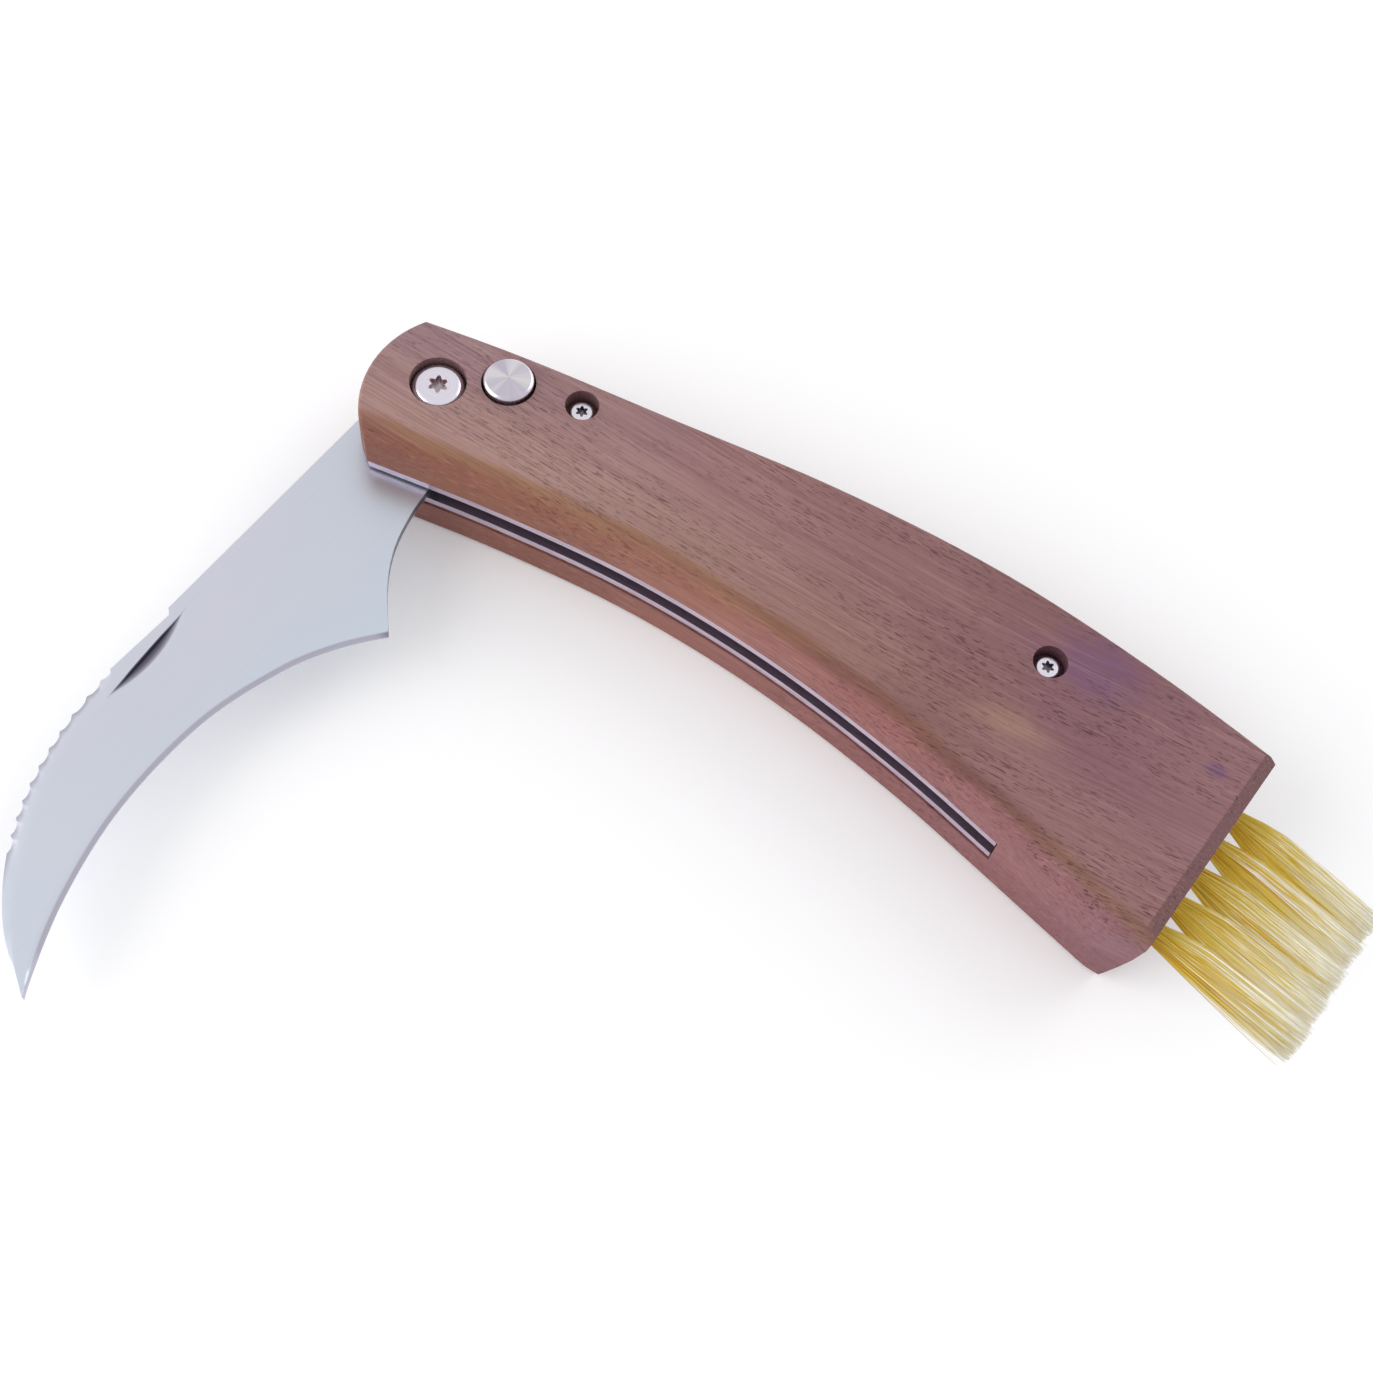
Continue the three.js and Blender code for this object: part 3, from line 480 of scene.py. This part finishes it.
def smoothing_tree(angle):
    """Geometry nodes that shade a piece smoothly, except over edges sharper than an angle."""
    tree = bpy.data.node_groups.new("smooth_by_angle", "GeometryNodeTree")
    tree.interface.new_socket("Geometry", in_out="INPUT", socket_type="NodeSocketGeometry")
    tree.interface.new_socket("Geometry", in_out="OUTPUT", socket_type="NodeSocketGeometry")
    new = tree.nodes.new
    start, end = new("NodeGroupInput"), new("NodeGroupOutput")
    drop = new("GeometryNodeRemoveAttribute")
    drop.inputs["Name"].default_value = "custom_normal"
    faces, edges = new("GeometryNodeSetShadeSmooth"), new("GeometryNodeSetShadeSmooth")
    faces.domain, edges.domain = "FACE", "EDGE"
    bend = new("GeometryNodeInputMeshEdgeAngle")
    test = new("FunctionNodeCompare")
    test.operation = "LESS_THAN"
    test.inputs[1].default_value = math.radians(angle)
    link = tree.links.new
    link(start.outputs[0], drop.inputs[0])
    link(drop.outputs[0], faces.inputs[0])
    link(faces.outputs[0], edges.inputs[0])
    link(bend.outputs[0], test.inputs[0])
    link(test.outputs[0], edges.inputs["Shade Smooth"])
    link(edges.outputs[0], end.inputs[0])
    return tree


# Widths of the broken edges, in millimetres.
EDGE_BREAK = {"handle_body": 0.16, "blade": 0.04, "front_liner": 0.10, "rear_liner": 0.10,
              "lock_button": 0.10, "pivot_screw": 0.05, "pivot_barrel": 0.05, "spring_cap": 0.08}


def finish_edges(piece, width, smooth):
    """Joins split facets, breaks the sharp edges by a hair and shades round faces smoothly."""
    piece.modifiers.new("join", "WELD").merge_threshold = 0.002 * MM
    if width:
        flat = piece.modifiers.new("flat", "DECIMATE")
        flat.decimate_type = "DISSOLVE"
        flat.angle_limit = math.radians(0.25)
        bevel = piece.modifiers.new("edge", "BEVEL")
        bevel.width = width * MM
        bevel.segments = 2
        bevel.limit_method = "ANGLE"
        bevel.angle_limit = math.radians(32)
        bevel.miter_outer = "MITER_ARC"
    shade = piece.modifiers.new("shade", "NODES")
    shade.node_group = smooth
    piece.modifiers.new("even", "WEIGHTED_NORMAL").keep_sharp = True


PIVOT_STAR_R = 1.5 * MM
SMALL_STAR_R = 0.95 * MM
SMALL_SCREWS = ("fore_screw_front", "fore_screw_rear", "aft_screw_front", "aft_screw_rear")
SMOOTH_BELOW = 31  # degrees between faces


def dress():
    """Gives every CAD piece its finished edges and its material."""
    steel, yellow, liner = turned_steel(), brass(), liner_steel()
    looks = {"handle_body": wood(), "blade": blade_steel(), "lock_button": spun_steel(),
             "front_liner": liner, "rear_liner": liner, "pivot_barrel": screw_steel("pivot_barrel"),
             # The pivot screw's recess colour is painted shade with a painted reflection of the wood.
             "pivot_screw": screw_steel("pivot_screw", PIVOT_STAR_R, (172, 154, 152))}
    for name in SMALL_SCREWS:
        looks[name] = screw_steel(name, SMALL_STAR_R)
    slots = {p["node"]: p["material_slot"] for p in frame["record"]["subparts"]}
    smooth = smoothing_tree(SMOOTH_BELOW)
    for name, piece in frame["nodes"].items():
        finish_edges(piece, EDGE_BREAK.get(name), smooth)
        surface = looks.get(name) or (yellow if slots[name] == "brass" else steel)
        piece.data.materials.clear()
        piece.data.materials.append(surface)


# ---------- the brush ----------

def tuft_frame(index):
    """Where a tuft leaves the tail and which way it points, as the CAD model has it."""
    step = index - (TUFT_COUNT - 1) / 2
    y = TUFT_MIDDLE_Y + TUFT_PITCH * step
    lean = math.radians(TUFT_LEAN + TUFT_FAN * step)
    root = PIVOT + Vector((TAIL_X + TAIL_SLOPE * y, y, 0)) * MM
    root.z = MID_Z
    return root, Matrix.Rotation(lean, 3, "Z")


def strand_path(rng, outermost):
    """Points of one filament in its tuft's own axes, x out of the wood, y across and z through, each
    with its share of the tuft's length; also how far it lies towards the spine, from -1 to 1."""
    turn = rng.uniform(0, 2 * math.pi)
    share = math.sqrt(rng.random())
    length = LONGEST - UNEVEN * rng.random() ** 2
    if rng.random() < SHORT["share"]:
        length -= SHORT["by"] * rng.random()
    drift = (rng.gauss(0, TIP_DRIFT), rng.gauss(0, TIP_DRIFT))
    bow = (rng.gauss(0, BOW), rng.gauss(0, BOW))
    spread_by = OUTER_SPREAD_BY if outermost and math.sin(turn) < 0 else SPREAD_BY
    points = []
    for k in range(STRAND_RINGS):
        x = -HIDDEN + (length + HIDDEN) * k / (STRAND_RINGS - 1)
        out = max(0.0, x) / TUFT_LENGTH
        opened = 1 - (1 - min(1.0, out / spread_by)) ** SPREAD_POWER
        across = share * (ROOT_R + (TIP_ACROSS - ROOT_R) * opened)
        through = share * (ROOT_R + (TIP_THROUGH - ROOT_R) * opened)
        wave = math.sin(math.pi * out)
        y = across * math.sin(turn) + drift[0] * out + bow[0] * wave
        z = through * math.cos(turn) + drift[1] * out + bow[1] * wave
        points.append((x, y, z, out))
    return points, share * math.sin(turn)


def brush_tuft(index, surface):
    """One tuft of filaments, which stands in for the CAD model's plain bundle."""
    rng = random.Random(FIRST_SEED + index)
    root, turn = tuft_frame(index)
    vertices, faces, outs, shades = [], [], [], []
    for _ in range(STRANDS):
        path, flank = strand_path(rng, index == 0)
        shade = min(1.0, max(0.0, rng.random() + FLANK_PALER * flank))
        thick = STRAND_R * MM * rng.uniform(*STRAND_R_RANGE)
        spin = rng.uniform(0, 2 * math.pi)
        first = len(vertices)
        for k, (x, y, z, out) in enumerate(path):
            past = max(0.0, (k / (STRAND_RINGS - 1) - TAPER["from"]) / TAPER["over"])
            r = thick * (1 - TAPER["by"] * past)
            for side in range(STRAND_SIDES):
                a = spin + 2 * math.pi * side / STRAND_SIDES
                offset = Vector((x * MM, y * MM + r * math.cos(a), z * MM + r * math.sin(a)))
                vertices.append(root + turn @ offset)
                outs.append(out)
                shades.append(shade)
        for k in range(STRAND_RINGS - 1):
            for side in range(STRAND_SIDES):
                a = first + k * STRAND_SIDES + side
                b = first + k * STRAND_SIDES + (side + 1) % STRAND_SIDES
                faces.append((a, b, b + STRAND_SIDES, a + STRAND_SIDES))
        last = first + (STRAND_RINGS - 1) * STRAND_SIDES
        faces.append(tuple(range(first + STRAND_SIDES - 1, first - 1, -1)))
        faces.append(tuple(range(last, last + STRAND_SIDES)))
    mesh = bpy.data.meshes.new(f"brush_tuft_{index + 1}")
    mesh.from_pydata(vertices, [], faces)
    for name, values in (("out", outs), ("shade", shades)):
        mesh.attributes.new(name, "FLOAT", "POINT").data.foreach_set("value", values)
    mesh.materials.append(surface)
    mesh.shade_smooth()
    piece = bpy.data.objects.new(mesh.name, mesh)
    bpy.context.scene.collection.objects.link(piece)
    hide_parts(f"bristle_tuft_{index + 1}")
    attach(piece, "handle")
    # Clear nylon passes light on, so the filaments do not darken each other.
    piece.visible_shadow = False
    piece.visible_diffuse = False


# ---------- the studio ----------

SENSOR = 36  # millimetres, as is the lens
LENS = 52.44
CAMERA_AT = Vector((38.616, -129.176, 251.524)) * MM
CAMERA_BACK = Vector((0.17199802, -0.40101077, 0.89978166))
CAMERA_UP = Vector((-0.51688249, 0.74082147, 0.42897091))
NEAREST = 0.01  # metres from the lens to the nearest thing shown

FLOOR_REACH = 3.0  # metres each way
FLOOR_DROP = 0.1 * MM  # the floor lies a hair below the knife
FLOOR_GLOW = 0.09
SKY_STRENGTH = 0.78


def make_camera():
    """A normal lens, above the knife on its belly side."""
    data = bpy.data.cameras.new("camera")
    data.sensor_width = SENSOR
    data.lens = LENS
    data.clip_start = NEAREST
    camera = bpy.data.objects.new("camera", data)
    turned = Matrix((CAMERA_UP.cross(CAMERA_BACK), CAMERA_UP, CAMERA_BACK)).transposed()
    camera.matrix_world = Matrix.Translation(CAMERA_AT) @ turned.to_4x4()
    bpy.context.scene.collection.objects.link(camera)
    bpy.context.scene.camera = camera


def area_light(name, at, size, power):
    """A soft round light aimed at the middle of the knife."""
    data = bpy.data.lights.new(name, "AREA")
    data.shape = "DISK"
    data.size = size
    data.energy = power
    light = bpy.data.objects.new(name, data)
    light.location = at
    light.rotation_euler = (-Vector(at)).to_track_quat("-Z", "Y").to_euler()
    bpy.context.scene.collection.objects.link(light)


def make_floor():
    """A plain pale floor."""
    mesh = bpy.data.meshes.new("floor")
    r = FLOOR_REACH
    mesh.from_pydata([(-r, -r, 0), (r, -r, 0), (r, r, 0), (-r, r, 0)], [], [(0, 1, 2, 3)])
    floor = bpy.data.objects.new("floor", mesh)
    g = Graph("floor")
    g.set(Base_Color=(250, 250, 250), Roughness=0.9)
    g.set(Emission_Color=(255, 255, 255), Emission_Strength=FLOOR_GLOW)
    mesh.materials.append(g.material)
    bpy.context.scene.collection.objects.link(floor)
    floor.location.z = -FLOOR_DROP


def make_studio():
    """The floor, a pale even sky and two soft lights, placed where the blade does not mirror them."""
    make_floor()
    world = bpy.data.worlds.new("world")
    world.use_nodes = True
    sky = world.node_tree.nodes["Background"].inputs
    sky["Color"].default_value = rgba((250, 250, 252))
    sky["Strength"].default_value = SKY_STRENGTH
    bpy.context.scene.world = world
    bpy.context.scene.view_settings.view_transform = "Standard"
    area_light("key", (-0.85, -0.75, 0.60), 1.3, 7.6)
    area_light("fill", (0.4, 0.9, 0.55), 1.0, 2.8)


make_camera()
make_studio()
dress()
brush_surface = bristle()
for tuft in range(TUFT_COUNT):
    brush_tuft(tuft, brush_surface)
